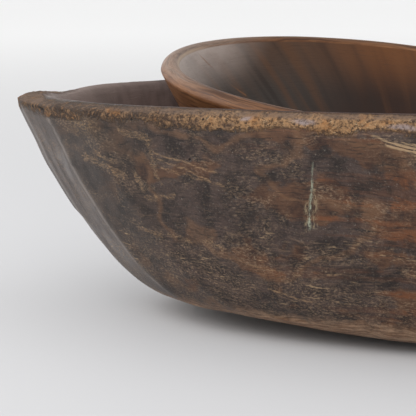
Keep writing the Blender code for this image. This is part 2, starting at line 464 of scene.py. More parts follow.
def eased(count):
    """Levels from 0 up to 1, close together near both ends."""
    share = np.linspace(0.0, 1.0, count, endpoint=False)
    return 0.65 * (1.0 - np.cos(0.5 * math.pi * share)) + 0.35 * (3 * share ** 2 - 2 * share ** 3)


def outward_normals(rings):
    """The surface's direction outwards at each point of a grid of closed rings."""
    along = np.roll(rings, -1, 1) - np.roll(rings, 1, 1)
    up = np.gradient(rings, axis=0)
    normal = np.cross(along, up)
    length = np.linalg.norm(normal, axis=2, keepdims=True)
    return normal / np.maximum(length, 1e-12)


def closed_mesh(name, rings, attributes):
    """A mesh through closed rings, with a fan over each end. Attributes hold one value a point."""
    ring_count, around = rings.shape[:2]
    points = np.concatenate((rings.reshape(-1, 3), rings[:1].mean(1), rings[-1:].mean(1)))
    index = np.arange(ring_count * around).reshape(ring_count, around)
    after = np.roll(index, -1, 1)
    quads = np.stack((index[:-1], after[:-1], after[1:], index[1:]), 2).reshape(-1, 4)
    first, last = len(points) - 2, len(points) - 1
    fans = [(after[0, i], index[0, i], first) for i in range(around)]
    fans += [(index[-1, i], after[-1, i], last) for i in range(around)]
    mesh = bpy.data.meshes.new(name)
    mesh.from_pydata(points.tolist(), [], quads.tolist() + [tuple(map(int, fan)) for fan in fans])
    for key, values in attributes.items():
        is_vector = values.ndim == 3
        layer = mesh.attributes.new(key, "FLOAT_VECTOR" if is_vector else "FLOAT", "POINT")
        every = values.reshape(ring_count * around, -1)
        flat = np.concatenate((every, every[:around].mean(0)[None], every[-around:].mean(0)[None]))
        layer.data.foreach_set("vector" if is_vector else "value", flat.astype(np.float32).ravel())
    mesh.shade_smooth()
    return mesh


# ------------------------ the long bowl

def outer_rings():
    """The long bowl's plain rings from foot round to floor, and the rim's first and last."""
    shares = np.linspace(0.0, 1.0, UNDERSIDE_RINGS + 1)[1:]
    rings = [foot_ring(share) for share in shares]
    rings += [belly_ring(share) for share in np.linspace(0.0, 1.0, BELLY_RINGS + 1)[1:-1]]
    top_level = 1.0 - RIM_DROP[0] / HULL_HEIGHT
    rings += [hull_ring(mix(BASE_LEVEL, top_level, level)) for level in eased(HULL_RINGS)]
    rim_first = len(rings)
    rings += [rim_ring(share) for share in np.linspace(0.0, 1.0, RIM_RINGS)]
    rim_last = len(rings) - 1
    rings += [hollow_ring(level) for level in np.append(eased(HOLLOW_RINGS), 1.0)[::-1]]
    rings += [floor_ring(share) for share in shares[::-1][1:]]
    return np.array(rings), rim_first, rim_last


def lower_edge_shift(x, z):
    """How far the last cuts moved the lower edge of the sides up from its plain line."""
    along = np.abs(x)
    shift = (SAG + SAG_REBOUND) * smooth_step(along, 0.02, 0.125) - SAG
    shift = shift - SAG_REBOUND * smooth_step(along, 0.15, 0.21)
    return shift * smooth_step(z, 0.0, 0.006) * (1.0 - smooth_step(z, 0.012, 0.05))


def crease_share(y, end_share):
    """1 on the creases between the facets, 0 away from them and away from the prows."""
    crease = np.zeros(y.shape)
    for at in FACET_EDGES[1:4]:
        crease = np.maximum(crease, 1.0 - smooth_step(np.abs(np.abs(y) - at), 0.0, CREASE_WIDTH))
    return crease * smooth_step(end_share, 0.5, 0.62)


def outer_bowl_mesh():
    """The long bowl's surface with its hand work and wear."""
    plain, rim_first, rim_last = outer_rings()
    ring_number = np.arange(len(plain))[:, None] * np.ones((1, AROUND))
    inside = (ring_number >= rim_last).astype(float)
    on_rim = np.clip((ring_number - rim_first) / (RIM_RINGS - 1), 0.0, 1.0)
    x, y, z = plain[..., 0], plain[..., 1], plain[..., 2]
    below_crest = OUTER_HEIGHT + sheer(x) - z
    end_share = np.abs(2.0 * x / OUTER_LENGTH)

    # broad swells and cuts, which only ever hollow the inside
    take = SWELL_DEPTH * rough(plain, (11, 11, 22), 1) + CUT_DEPTH * rough(plain, (26, 26, 52), 2)
    take = np.where(inside > 0.0, np.abs(take), take) * smooth_step(z, 0.001, 0.012)

    # pits and chips along the rim and on the tops of the prows
    pits = 1.0 + rough(plain, (150, 150, 190), 3)
    chips = 1.0 + rough(plain, (340, 340, 340), 4)
    edge = rough(plain, (48, 48, 48), 5)
    band = smooth_step(BAND_REACH + BAND_WANDER * edge - below_crest, 0.0, 0.003) * (1.0 - inside)
    band = band * (1.0 - smooth_step(on_rim, 0.8, 0.98) * 0.7)
    take = take + band * (BAND_PIT_DEPTH * pits + BAND_CHIP_DEPTH * chips + BAND_EDGE_DEPTH * (1 + edge))
    block = smooth_step(end_share, 0.88, 0.92) * smooth_step(BLOCK_REACH - below_crest, 0.0, 0.003)
    take = take + block * (BLOCK_PIT_DEPTH * pits + BLOCK_CHIP_DEPTH * chips)
    take = take * (1.0 - TIP_CALM * smooth_step(end_share, 0.93, 0.98))
    rings = plain - outward_normals(plain) * take[..., None]

    # the rounded tips, the lower edge's own line, and the dip in the far rim
    nose = smooth_step(end_share, 0.955, 0.99)
    nose = nose * smooth_step(NOSE_DEPTH - below_crest, 0.0, NOSE_DEPTH) ** 1.4
    rings[..., 0] -= np.sign(x) * NOSE_WEAR * nose
    rings[..., 2] += lower_edge_shift(x, z) * (1.0 - inside)
    far = smooth_step(FAR_WEAR_REACH - np.abs(x - FAR_WEAR_MIDDLE), 0.0, FAR_WEAR_REACH) * (y > 0)
    rings[..., 2] -= FAR_WEAR * far * smooth_step(FAR_WEAR_DEPTH - below_crest, 0.0, FAR_WEAR_DEPTH)
    rings = np.clip(rings, np.array(OUTER_LOW), np.array(OUTER_HIGH))

    attributes = {
        "below_crest": below_crest,
        "inside": inside,
        "crease": crease_share(y, end_share) * (1.0 - inside),
        "band": band + block,
    }
    return closed_mesh("outer_bowl_carved", rings, attributes)


# ------------------------ the round bowl

def inner_profile():
    """The round bowl's section from foot to floor, as (radius, height), and where its lip starts."""
    foot = [(INNER_FOOT_RADIUS * s, 0.0) for s in np.linspace(0.0, 1.0, INNER_FOOT_RINGS + 1)[1:-1]]
    foot_share = (INNER_FOOT_RADIUS / INNER_RADIUS) ** (1.0 / INNER_FULLNESS)
    shares = np.linspace(0.0, 1.0, INNER_OUTSIDE_RINGS, endpoint=False) ** INNER_CROWDING
    outside = [(INNER_RADIUS * mix(foot_share, 1.0, s) ** INNER_FULLNESS, INNER_SHOULDER * s)
               for s in shares]
    lip = INNER_WALL / 2
    turns = np.linspace(0.0, math.pi - INNER_SLOPE, INNER_LIP_RINGS)
    over = [(INNER_RADIUS - lip + lip * math.cos(a), INNER_SHOULDER + lip * math.sin(a)) for a in turns]
    mouth_radius, mouth_height = over[-1]
    shares = np.linspace(1.0, 0.02, INNER_INSIDE_RINGS + 1)[1:]
    inside = [(mouth_radius * s, mix(INNER_FLOOR_THICKNESS, mouth_height, s ** 2)) for s in shares]
    return np.array(foot + outside + over + inside), len(foot) + len(outside)


def inner_bowl_mesh():
    """The round bowl's surface where it lies, with its own upright coordinates as an attribute."""
    profile, lip_start = inner_profile()
    angle = 2.0 * math.pi * np.arange(INNER_AROUND) / INNER_AROUND
    rings = np.stack((profile[:, :1] * np.cos(angle), profile[:, :1] * np.sin(angle),
                      profile[:, 1:] - INNER_HEIGHT + 0.0 * angle), 2)
    inside = np.zeros(rings.shape[:2])
    inside[lip_start + INNER_LIP_RINGS - 1:] = 1.0
    over_lip = np.zeros(rings.shape[:2])
    over_lip[lip_start:lip_start + INNER_LIP_RINGS] = np.linspace(0.0, 1.0, INNER_LIP_RINGS)[:, None]
    steps = np.linalg.norm(np.diff(profile, axis=0, prepend=profile[:1]), axis=1)
    across = np.cumsum(steps)[:, None] * np.ones((1, INNER_AROUND))

    swells = 1.0 + rough(rings, (9, 9, 14), 11)
    cuts = 1.0 + rough(rings, (38, 38, 20), 12)
    take = INNER_LEAST_WEAR + INNER_SWELL_DEPTH * swells + INNER_CUT_DEPTH * cuts
    own = rings - outward_normals(rings) * take[..., None]
    turn = np.array(Euler(INNER_TILT).to_matrix())
    placed = own @ turn.T + np.array(INNER_CENTRE)
    attributes = {"inside": inside, "over_lip": over_lip, "across": across, "own_place": own}
    return closed_mesh("inner_bowl_carved", placed, attributes)


# ------------------------ material helpers

class Nodes:
    """Short calls that add nodes to a tree. A value may be a number, a colour or a socket."""

    def __init__(self, tree):
        self.nodes = tree.nodes
        self.links = tree.links

    def put(self, socket, value):
        """Link or set one socket."""
        if isinstance(value, bpy.types.NodeSocket):
            self.links.new(value, socket)
        elif isinstance(value, tuple) and socket.type == "RGBA":
            socket.default_value = (*value, 1.0)
        else:
            socket.default_value = value

    def maths(self, operation, first, second=0.0, third=None):
        """One operation on numbers."""
        node = self.nodes.new("ShaderNodeMath")
        node.operation = operation
        self.put(node.inputs[0], first)
        self.put(node.inputs[1], second)
        if third is not None:
            self.put(node.inputs[2], third)
        return node.outputs[0]

    def product(self, *values):
        """All the values multiplied."""
        result = values[0]
        for value in values[1:]:
            result = self.maths("MULTIPLY", result, value)
        return result

    def total(self, *values):
        """All the values added."""
        result = values[0]
        for value in values[1:]:
            result = self.maths("ADD", result, value)
        return result

    def vector(self, operation, first, second=(0.0, 0.0, 0.0)):
        """One operation on vectors."""
        node = self.nodes.new("ShaderNodeVectorMath")
        node.operation = operation
        self.put(node.inputs[0], first)
        if operation == "SCALE":
            self.put(node.inputs["Scale"], second)
        elif operation not in ("LENGTH", "NORMALIZE"):
            self.put(node.inputs[1], second)
        return node.outputs["Value" if operation in ("LENGTH", "DOT_PRODUCT") else "Vector"]

    def split(self, vector):
        """The three parts of a vector."""
        node = self.nodes.new("ShaderNodeSeparateXYZ")
        self.put(node.inputs[0], vector)
        return node.outputs

    def attribute(self, name, output="Fac"):
        """A value that the mesh carries at its points."""
        node = self.nodes.new("ShaderNodeAttribute")
        node.attribute_name = name
        return node.outputs[output]

    def ramp(self, value, low, high, start=0.0, end=1.0):
        """A smooth change from start at low to end at high."""
        node = self.nodes.new("ShaderNodeMapRange")
        node.interpolation_type = "SMOOTHSTEP"
        for name, number in zip(("Value", "From Min", "From Max", "To Min", "To Max"),
                                (value, low, high, start, end)):
            self.put(node.inputs[name], number)
        return node.outputs["Result"]

    def blend(self, share, under, over):
        """One colour laid over another."""
        node = self.nodes.new("ShaderNodeMix")
        node.data_type = "RGBA"
        self.put(node.inputs[0], share)
        self.put(node.inputs[6], under)
        self.put(node.inputs[7], over)
        return node.outputs[2]


class Finish(Nodes):
    """One material, with patterns laid in its surface's own coordinates."""

    def __init__(self, name, roughness, specular):
        self.material = bpy.data.materials.new(name)
        self.material.use_nodes = True
        super().__init__(self.material.node_tree)
        self.shader = self.nodes["Principled BSDF"]
        self.shader.inputs["Roughness"].default_value = roughness
        self.shader.inputs["Specular IOR Level"].default_value = specular
        self.at = self.nodes.new("ShaderNodeTexCoord").outputs["Object"]

    def noise(self, scale, detail, roughness, at=None, shift=0.0, colour=False, twist=0.0):
        """Fractal noise of 0 to 1, at scale features a metre on each axis."""
        scale = scale if isinstance(scale, tuple) else (scale,) * 3
        place = self.vector("MULTIPLY", self.at if at is None else at, scale)
        place = self.vector("ADD", place, (shift, 2.0 * shift, 3.0 * shift))
        node = self.nodes.new("ShaderNodeTexNoise")
        self.put(node.inputs["Vector"], place)
        node.inputs["Scale"].default_value = 1.0
        node.inputs["Detail"].default_value = detail
        node.inputs["Roughness"].default_value = roughness
        node.inputs["Distortion"].default_value = twist
        return node.outputs["Color" if colour else "Fac"]

    def cells(self, scale):
        """Distance to the nearest of the scattered cell points."""
        node = self.nodes.new("ShaderNodeTexVoronoi")
        self.put(node.inputs["Vector"], self.vector("MULTIPLY", self.at, (scale,) * 3))
        node.inputs["Scale"].default_value = 1.0
        return node.outputs["Distance"]

    def wander(self, scale, distance):
        """The surface's own coordinates, pushed about by up to half of distance."""
        push = self.noise(scale, 3.0, 0.6, shift=3.1, colour=True)
        push = self.vector("SUBTRACT", push, (0.5, 0.5, 0.5))
        return self.vector("ADD", self.at, self.vector("SCALE", push, distance))

    def spot(self, centre, reach, at=None, core=0.0):
        """1 at centre, falling to 0 at reach along each axis."""
        away = self.vector("SUBTRACT", self.at if at is None else at, centre)
        away = self.vector("DIVIDE", away, reach)
        return self.ramp(self.vector("LENGTH", away), core, 1.0, 1.0, 0.0)

    def spots(self, marks, at, core):
        """1 within any of the marks, each a middle and a reach, and 0 outside them."""
        result = 0.0
        for centre, reach in marks:
            result = self.maths("MAXIMUM", result, self.spot(centre, reach, at, core))
        return result

    def stroke(self, start, end, width, at):
        """1 on the line from start to end, falling to 0 at width from it."""
        way = Vector(end) - Vector(start)
        from_start = self.vector("SUBTRACT", at, tuple(start))
        along = self.vector("DOT_PRODUCT", from_start, tuple(way.normalized()))
        along = self.maths("MINIMUM", self.maths("MAXIMUM", along, 0.0), way.length)
        nearest = self.vector("SCALE", tuple(way.normalized()), along)
        away = self.vector("LENGTH", self.vector("SUBTRACT", from_start, nearest))
        return self.ramp(away, 0.0, width, 1.0, 0.0)

    def strokes(self, marks, at):
        """1 on any of the marks on the front, each a start, an end and a half width."""
        flat = self.vector("MULTIPLY", at, (1.0, 0.0, 1.0))
        result = 0.0
        for start, end, width in marks:
            line = self.stroke((start[0], 0.0, start[1]), (end[0], 0.0, end[1]), width, flat)
            result = self.maths("MAXIMUM", result, line)
        return self.maths("MULTIPLY", result, self.ramp(self.split(self.at)[1], *FRONT_MARKS))

    def dress(self, colour, roughness, height, depth):
        """Give the surface its colour and roughness, and raise it by depth where height is 1."""
        self.put(self.shader.inputs["Base Color"], colour)
        self.put(self.shader.inputs["Roughness"], roughness)
        node = self.nodes.new("ShaderNodeBump")
        node.inputs["Distance"].default_value = depth
        self.put(node.inputs["Height"], height)
        self.put(self.shader.inputs["Normal"], node.outputs["Normal"])


# ------------------------ the long bowl's wood

class LongBowlWood(Finish):
    """Dark, oiled and much-handled wood: mottled charcoal and brown, scuffed, with a raw rim."""

    def __init__(self):
        super().__init__("weathered_dark_wood", 0.5, 0.3)
        x, y, z = self.split(self.at)
        self.x = x
        self.z = z
        self.along = self.maths("ABSOLUTE", x)
        self.sideways = self.maths("ABSOLUTE", y)
        self.height_up = self.maths("SUBTRACT", z, BELLY_DEPTH)
        self.ends = self.ramp(self.along, 0.17, 0.25)
        self.inside = self.attribute("inside")
        self.outside = self.maths("SUBTRACT", 1.0, self.inside)
        self.band = self.attribute("band")
        self.grain_at = self.wander(14.0, 0.02)
        self.clouds = self.noise(75.0, 6.0, 0.7, self.grain_at, 5.2)
        self.specks = self.noise(700.0, 3.0, 0.75, None, 9.6)
        self.lines = self.noise((60, 150, 850), 3.0, 0.6, self.grain_at, 2.9)
        self.drifts = self.noise((30, 30, 52), 5.0, 0.66, self.grain_at, 6.3)
        self.dashes = self.noise((480, 480, 950), 3.0, 0.72, self.grain_at, 4.6)
        self.fibres = self.noise(520.0, 5.0, 0.76, None, 2.2, twist=0.5)
        self.curls = self.noise(170.0, 3.0, 0.6, None, 4.1, twist=1.6)
        self.colour = CHARCOAL

    def paint(self, share, over):
        """Lay another colour over what is there so far."""
        self.colour = self.blend(share, self.colour, over)


def mottle(wood):
    """Charcoal islands with pale specks in warm brown, and how much of an island each place is."""
    islands = wood.noise((16, 16, 27), 5.0, 0.55, wood.grain_at, 1.7)
    darker_ends = wood.ramp(wood.along, 0.08, 0.165, 0.0, -0.032)
    island = wood.ramp(wood.maths("ADD", islands, darker_ends), 0.545, 0.48)
    dark = wood.blend(wood.ramp(wood.clouds, 0.36, 0.64), CHARCOAL, SOOTY_BROWN)
    dark = wood.blend(wood.ramp(wood.specks, 0.52, 0.74, 0.0, 0.45), dark, DUST_SPECK)
    brown = wood.blend(wood.ramp(wood.clouds, 0.36, 0.62), DEEP_BROWN, WARM_BROWN)
    wood.colour = wood.blend(wood.ramp(island, 0.0, 1.0, 0.05, 0.92), brown, dark)
    return island


def redden(wood, island):
    """Reddish grain streaks towards the middle of the bowl, and brown arcs between the islands."""
    streaks = wood.noise((6, 24, 95), 4.0, 0.6, wood.wander(14.0, 0.008), 8.4)
    redness = wood.product(
        wood.ramp(streaks, 0.49, 0.63), wood.ramp(wood.clouds, 0.3, 0.54, 0.3, 1.0),
        wood.ramp(island, 0.0, 1.0, 1.0, 0.35), wood.ramp(wood.along, 0.19, 0.05), wood.outside, 0.8)
    wood.paint(redness, RED_BROWN)
    contour = wood.noise((9, 9, 15), 3.0, 0.5, wood.grain_at, 6.8)
    contour = wood.maths("ABSOLUTE", wood.maths("SUBTRACT", contour, 0.5))
    arcs = wood.product(
        wood.ramp(contour, 0.03, 0.004), wood.ramp(wood.clouds, 0.34, 0.56, 0.2, 1.0), wood.outside,
        0.55)
    wood.paint(arcs, ARC_BROWN)


def line_grain_with_painted_low_light(wood):
    """Fine light and dark grain lines, the light ones strongest low on the wall, where the extra
    lightness is painted light bounced from the floor.
    """
    # painted light: the light grain lines grow stronger towards the foot of the wall
    light = wood.product(
        wood.ramp(wood.lines, 0.54, 0.72), wood.ramp(wood.height_up, 0.11, 0.05, 0.15, 0.45))
    wood.paint(light, GRAIN_LIGHT)
    wood.paint(wood.ramp(wood.lines, 0.47, 0.3, 0.0, 0.75), GRAIN_DARK)


def cut_prows_with_painted_sheen(wood):
    """Dark shoulders, and the prows' mauve grey cuts with soft streaks along them, the grey a painted
    sheen.
    """
    shoulder = wood.blend(wood.ramp(wood.clouds, 0.36, 0.62), SHOULDER_DARK, SHOULDER_LIGHT)
    wood.paint(wood.product(wood.ends, wood.outside, 0.72), shoulder)
    # painted sheen: the cuts' mauve grey and its lighter streaks and patches stand in for the reflection
    # the cuts catch
    sheen = wood.noise((14, 130, 14), 4.0, 0.55, wood.wander(20.0, 0.006), 3.9)
    patches = wood.noise(36.0, 3.0, 0.5, wood.grain_at, 1.1)
    cut = wood.blend(wood.ramp(sheen, 0.33, 0.67), CUT_SHEEN_DARK, CUT_SHEEN_LIGHT)
    cut = wood.blend(wood.ramp(patches, 0.5, 0.64, 0.0, 0.55), cut, CUT_SHEEN)
    cut = wood.blend(wood.ramp(wood.clouds, 0.5, 0.34, 0.0, 0.6), cut, CUT_GRIME)
    cut = wood.blend(wood.ramp(wood.sideways, 0.052, 0.044, 0.0, 0.35), cut, CUT_NOSE)
    cut = wood.blend(wood.ramp(wood.z, 0.118, 0.146, 0.0, 0.55), cut, CUT_TOP)
    cut_sheen_share = wood.product(
        wood.ramp(wood.sideways, 0.085, 0.08, 0.2, 1.0), wood.ramp(wood.sideways, 0.118, 0.098),
        wood.ends, wood.outside, 0.88)
    wood.paint(cut_sheen_share, cut)


def dust_and_painted_low_light(wood):
    """Pale dusty fuzz in drifts, under the prow's rim and thickest low on the wall, where the extra
    paleness is painted light bounced from the floor, and bright specks.
    """
    # painted light: more pale fuzz towards the foot of the wall
    low_down = wood.ramp(wood.height_up, 0.07, 0.02, 0.0, 0.1)
    fuzz = wood.product(
        wood.ramp(wood.dashes, 0.44, 0.7),
        wood.ramp(wood.total(wood.drifts, low_down), 0.47, 0.64, 0.06, 1.0), wood.outside, 0.66)
    wood.paint(fuzz, FUZZ)
    under_rim = wood.product(wood.spot(*UNDER_RIM), wood.ramp(wood.dashes, 0.42, 0.6), 0.6)
    wood.paint(under_rim, UNDER_RIM_TAN)
    wood.paint(wood.ramp(wood.specks, 0.68, 0.75, 0.0, 0.6), PALE_SPECK)


def nick(wood):
    """Short light nicks that follow the grain, low on the wall."""
    nicks = wood.noise((70, 70, 600), 3.0, 0.65, None, 5.9)
    nicks = wood.product(
        wood.ramp(nicks, 0.635, 0.7), wood.ramp(wood.drifts, 0.42, 0.56),
        wood.ramp(wood.height_up, 0.1, 0.05), wood.outside, 0.75)
    wood.paint(nicks, NICK_TAN)


def scuff(wood):
    """Tan scuffs and scratches on the left shoulder, made of fine dashes, and the scuffs' share."""
    hatch = wood.noise((300, 300, 1000), 4.0, 0.75, wood.wander(90.0, 0.004), 7.1)
    frayed = wood.product(wood.maths("SUBTRACT", wood.dashes, 0.5), 2.2)
    scuffed = wood.total(wood.strokes(SCUFFS, wood.wander(75.0, 0.012)), frayed)
    scuffed = wood.ramp(scuffed, 0.15, 1.0)
    wood.paint(wood.product(scuffed, 0.13), SCUFF_TINT)
    scuffs = wood.product(scuffed, wood.ramp(hatch, 0.45, 0.64))
    wood.paint(wood.product(scuffs, 0.52), SCUFF_TAN)
    scratches = wood.strokes(SCRATCHES, wood.wander(30.0, 0.01))
    wood.paint(wood.product(scratches, wood.ramp(hatch, 0.4, 0.62), 0.58), SCRATCH_TAN)
    return scuffs


def scrape(wood):
    """One pale upright scrape."""
    upright = wood.noise((800, 500, 210), 4.0, 0.75, None, 3.3)
    halo = wood.strokes(SCRAPE_HALO, wood.wander(90.0, 0.003))
    wood.paint(wood.product(halo, wood.ramp(upright, 0.47, 0.62), 0.66), SCRAPE_EDGE)
    core = wood.product(
        wood.strokes(SCRAPE, wood.wander(120.0, 0.0016)), wood.ramp(upright, 0.4, 0.6, 0.05, 1.1),
        wood.ramp(wood.z, 0.13, 0.104, 0.25, 1.0), 0.72)
    wood.paint(core, SCRAPE_CORE)


def bare_grain(wood):
    """Pale streaks of bared grain under the rim."""
    slant = wood.vector("ADD", wood.at, wood.vector("SCALE", (0.0, 0.0, BARED_SLANT), wood.x))
    parallel = wood.noise((55, 55, 620), 5.0, 0.68, slant, 1.3)
    bared = wood.product(
        wood.strokes(BARED_GRAIN, wood.wander(40.0, 0.006)), wood.ramp(parallel, 0.42, 0.6))
    wood.paint(wood.ramp(bared, 0.0, 0.7, 0.0, 0.76), BARE_WOOD)


def rub_and_paint_lower_edge_light(wood):
    """Worn creases between the prows' cuts, and the lower edge, rubbed and paler as painted light from
    the floor.
    """
    crease = wood.attribute("crease")
    wood.paint(wood.product(crease, wood.ramp(wood.clouds, 0.3, 0.6, 0.1, 0.55)), CREASE_RUBBED)
    crease_line = wood.product(
        wood.ramp(crease, 0.7, 0.97), wood.ramp(wood.clouds, 0.36, 0.56, 0.12, 0.45))
    wood.paint(crease_line, CREASE_LINE)
    # the lower edge's pale band: wear and painted light bounced from the floor
    edge_height = wood.total(wood.height_up, wood.product(wood.clouds, -0.018))
    edge = wood.product(
        wood.ramp(edge_height, 0.007, -0.003), wood.outside,
        wood.ramp(wood.dashes, 0.3, 0.6, 0.6, 1.0), 0.88)
    wood.paint(edge, wood.blend(wood.ramp(wood.lines, 0.4, 0.6), EDGE_DARK, EDGE_LIGHT))


def paint_hollow(wood):
    """The inside: smoother, mauve brown, with soft upright streaks and paler blunt ends as a painted
    sheen.
    """
    streaks = wood.noise((38, 38, 9), 4.0, 0.6, wood.grain_at, 3.8)
    hollow = wood.blend(wood.ramp(streaks, 0.38, 0.62), HOLLOW_DARK, HOLLOW_LIGHT)
    # painted sheen at the hollow's blunt ends
    hollow = wood.blend(wood.ramp(wood.along, 0.255, 0.3, 0.0, 0.7), hollow, HOLLOW_END_SHEEN)
    wood.paint(wood.inside, hollow)


def raw_wood(wood):
    """The rim's insect-eaten wood: ochre fibres and pits, darker and grimier towards the prows."""
    bare = wood.ramp(wood.along, 0.26, 0.12)
    pale = wood.total(
        wood.product(wood.fibres, 0.66), wood.product(wood.curls, 0.34), wood.product(bare, 0.05))
    raw = wood.blend(wood.ramp(pale, 0.44, 0.62), RAW_DARK, RAW_OCHRE)
    glints = wood.noise((330, 330, 620), 4.0, 0.75, None, 8.8, twist=1.0)
    raw = wood.blend(wood.product(wood.ramp(glints, 0.56, 0.66, 0.0, 0.7), bare), raw, RAW_GLINT)
    raw = wood.blend(wood.ramp(glints, 0.46, 0.36, 0.0, 0.6), raw, RAW_CREVICE)
    raw = wood.blend(wood.ramp(wood.along, 0.13, 0.24, 0.0, 0.72), raw, RAW_GRIME)
    curled = wood.product(
        wood.ramp(wood.curls, 0.52, 0.62), wood.ramp(wood.along, 0.13, 0.24, 0.0, 0.6))
    return wood.blend(curled, raw, RAW_CURL)


def weather_rim(wood, raw):
    """Orange and dark blots, a worn top, and polished patches with a painted lilac sheen on the raw wood.
    """
    blots = wood.noise(80.0, 4.0, 0.62, None, 6.6)
    raw = wood.blend(wood.ramp(blots, 0.55, 0.68, 0.0, 0.65), raw, RAW_ORANGE)
    raw = wood.blend(wood.ramp(blots, 0.47, 0.34, 0.0, 0.65), raw, RAW_SHADE)
    worn = wood.noise(60.0, 3.0, 0.6, None, 7.9)
    worn_top = wood.product(
        wood.ramp(wood.attribute("below_crest"), 0.0045, 0.0015),
        wood.ramp(worn, 0.38, 0.56, 0.25, 0.75))
    raw = wood.blend(worn_top, raw, RAW_WORN_TOP)
    # painted sheen: lilac grey on the polished patches
    lilac = wood.product(
        wood.spots(POLISHED_SHEEN_PATCHES, wood.wander(60.0, 0.008), 0.2),
        wood.ramp(wood.fibres, 0.38, 0.56, 0.3, 0.9))
    return wood.blend(lilac, raw, RAW_LILAC_SHEEN)


def strip_rim(wood, raw):
    """Lay the raw wood along the rim with a torn lower edge, and return how raw each place is."""
    torn = wood.total(
        wood.product(wood.maths("SUBTRACT", wood.fibres, 0.5), 1.6),
        wood.product(wood.maths("SUBTRACT", wood.curls, 0.5), 1.2))
    less_at_ends = wood.ramp(wood.along, 0.15, 0.23, 0.0, -0.22)
    raw_share = wood.product(
        wood.ramp(wood.total(wood.band, torn, less_at_ends), 0.1, 0.95),
        wood.ramp(wood.band, 0.0, 0.25))
    wood.paint(raw_share, raw)
    return raw_share


def bore(wood):
    """Insect holes, scattered over the rim and at a few set places, and their share."""
    holes = wood.product(wood.ramp(wood.cells(75.0), 0.085, 0.06), wood.ramp(wood.band, 0.3, 0.6))
    for centre in HOLES:
        holes = wood.maths("MAXIMUM", holes, wood.spot(centre, HOLE_REACH, None, 0.5))
    wood.paint(holes, HOLE_BLACK)
    return holes


def weathered_dark_wood():
    """The long bowl's material, laid on from the oldest layer to the newest."""
    wood = LongBowlWood()
    island = mottle(wood)
    redden(wood, island)
    line_grain_with_painted_low_light(wood)
    cut_prows_with_painted_sheen(wood)
    dust_and_painted_low_light(wood)
    nick(wood)
    scuffs = scuff(wood)
    scrape(wood)
    bare_grain(wood)
    rub_and_paint_lower_edge_light(wood)
    paint_hollow(wood)
    raw_share = strip_rim(wood, weather_rim(wood, raw_wood(wood)))
    holes = bore(wood)

    raw_height = wood.product(wood.total(wood.fibres, wood.product(wood.curls, 0.8)), raw_share, 1.8)
    height = wood.total(
        wood.product(wood.lines, 0.35), wood.product(wood.dashes, 0.25),
        wood.product(wood.clouds, 0.8), wood.product(scuffs, 0.4), raw_height,
        wood.product(holes, -3.0))
    handled = wood.ramp(wood.clouds, 0.3, 0.7, 0.42, 0.58)
    wood.dress(wood.colour, wood.ramp(raw_share, 0.0, 1.0, handled, 0.78), height, 0.0007)
    return wood.material


# ------------------------ the round bowl's wood

class RoundBowlWood(Finish):
    """Smooth, hand-worn brown wood with a satin sheen, in the round bowl's own coordinates."""

    def __init__(self):
        super().__init__("worn_brown_wood", 0.42, 0.15)
        self.at = self.attribute("own_place", "Vector")
        self.x, self.y, self.z = self.split(self.at)
        grain_at = self.wander(11.0, 0.006)
        self.towards = self.vector("NORMALIZE", self.vector("MULTIPLY", grain_at, (1.0, 1.0, 0.0)))
        wave = self.noise(28.0, 3.0, 0.5, None, 9.1)
        across = self.maths("MULTIPLY_ADD", wave, 0.01, self.attribute("across"))
        round_at = self.vector(
            "ADD", self.vector("SCALE", self.towards, INNER_RADIUS),
            self.vector("SCALE", (0.0, 0.0, 1.0), across))
        self.lines = self.noise((16, 16, 560), 4.0, 0.6, round_at, 2.2)
        self.fine = self.noise((80, 80, 1500), 3.0, 0.6, round_at, 5.5)
        self.patches = self.noise((18, 18, 34), 5.0, 0.6, grain_at, 7.7)


def outer_colour(wood):
    """Warm brown with dark grain lines that run round with the lip, darker low down."""
    colour = wood.blend(wood.ramp(wood.patches, 0.38, 0.62), BROWN_DARK, BROWN_LIGHT)
    colour = wood.blend(wood.ramp(wood.lines, 0.5, 0.38, 0.0, 0.8), colour, LINE_DARK)
    colour = wood.blend(wood.ramp(wood.fine, 0.48, 0.34, 0.0, 0.5), colour, LINE_FINE)
    colour = wood.blend(wood.ramp(wood.fine, 0.54, 0.68, 0.0, 0.35), colour, LINE_LIGHT)
    return wood.blend(wood.ramp(wood.z, -0.02, -0.065, 0.0, 0.85), colour, LOW_BROWN)


def lip_colour(wood, colour):
    """The lip: darker along its top as painted shade, with a painted highlight on the left and a pale
    painted highlight along its inner edge.
    """
    over_lip = wood.attribute("over_lip")
    # painted shade: the lip's top is darkened where it faces up into the light
    top = wood.product(wood.ramp(over_lip, 0.12, 0.35), wood.ramp(over_lip, 0.95, 0.8), 0.7)
    top_shade_brown = wood.blend(wood.ramp(wood.lines, 0.42, 0.56), LIP_TOP_SHADE_DARK, LIP_TOP_SHADE_LIGHT)
    colour = wood.blend(top, colour, top_shade_brown)
    # painted highlight on the left end of the lip
    left_highlight = wood.product(
        wood.ramp(wood.x, -0.09, -0.14), wood.ramp(over_lip, 0.05, 0.4),
        wood.ramp(wood.fine, 0.35, 0.6, 0.25, 0.62))
    colour = wood.blend(left_highlight, colour, LIP_LEFT_HIGHLIGHT)
    # painted highlight along the lip's inner edge, on its near side
    arris = wood.product(
        wood.ramp(over_lip, 0.8, 0.9), wood.ramp(over_lip, 1.0, 0.93),
        wood.ramp(wood.patches, 0.36, 0.56, 0.5, 1.0), wood.ramp(wood.y, 0.06, 0.01), 0.8)
    return wood.blend(arris, colour, LIP_ARRIS_HIGHLIGHT)


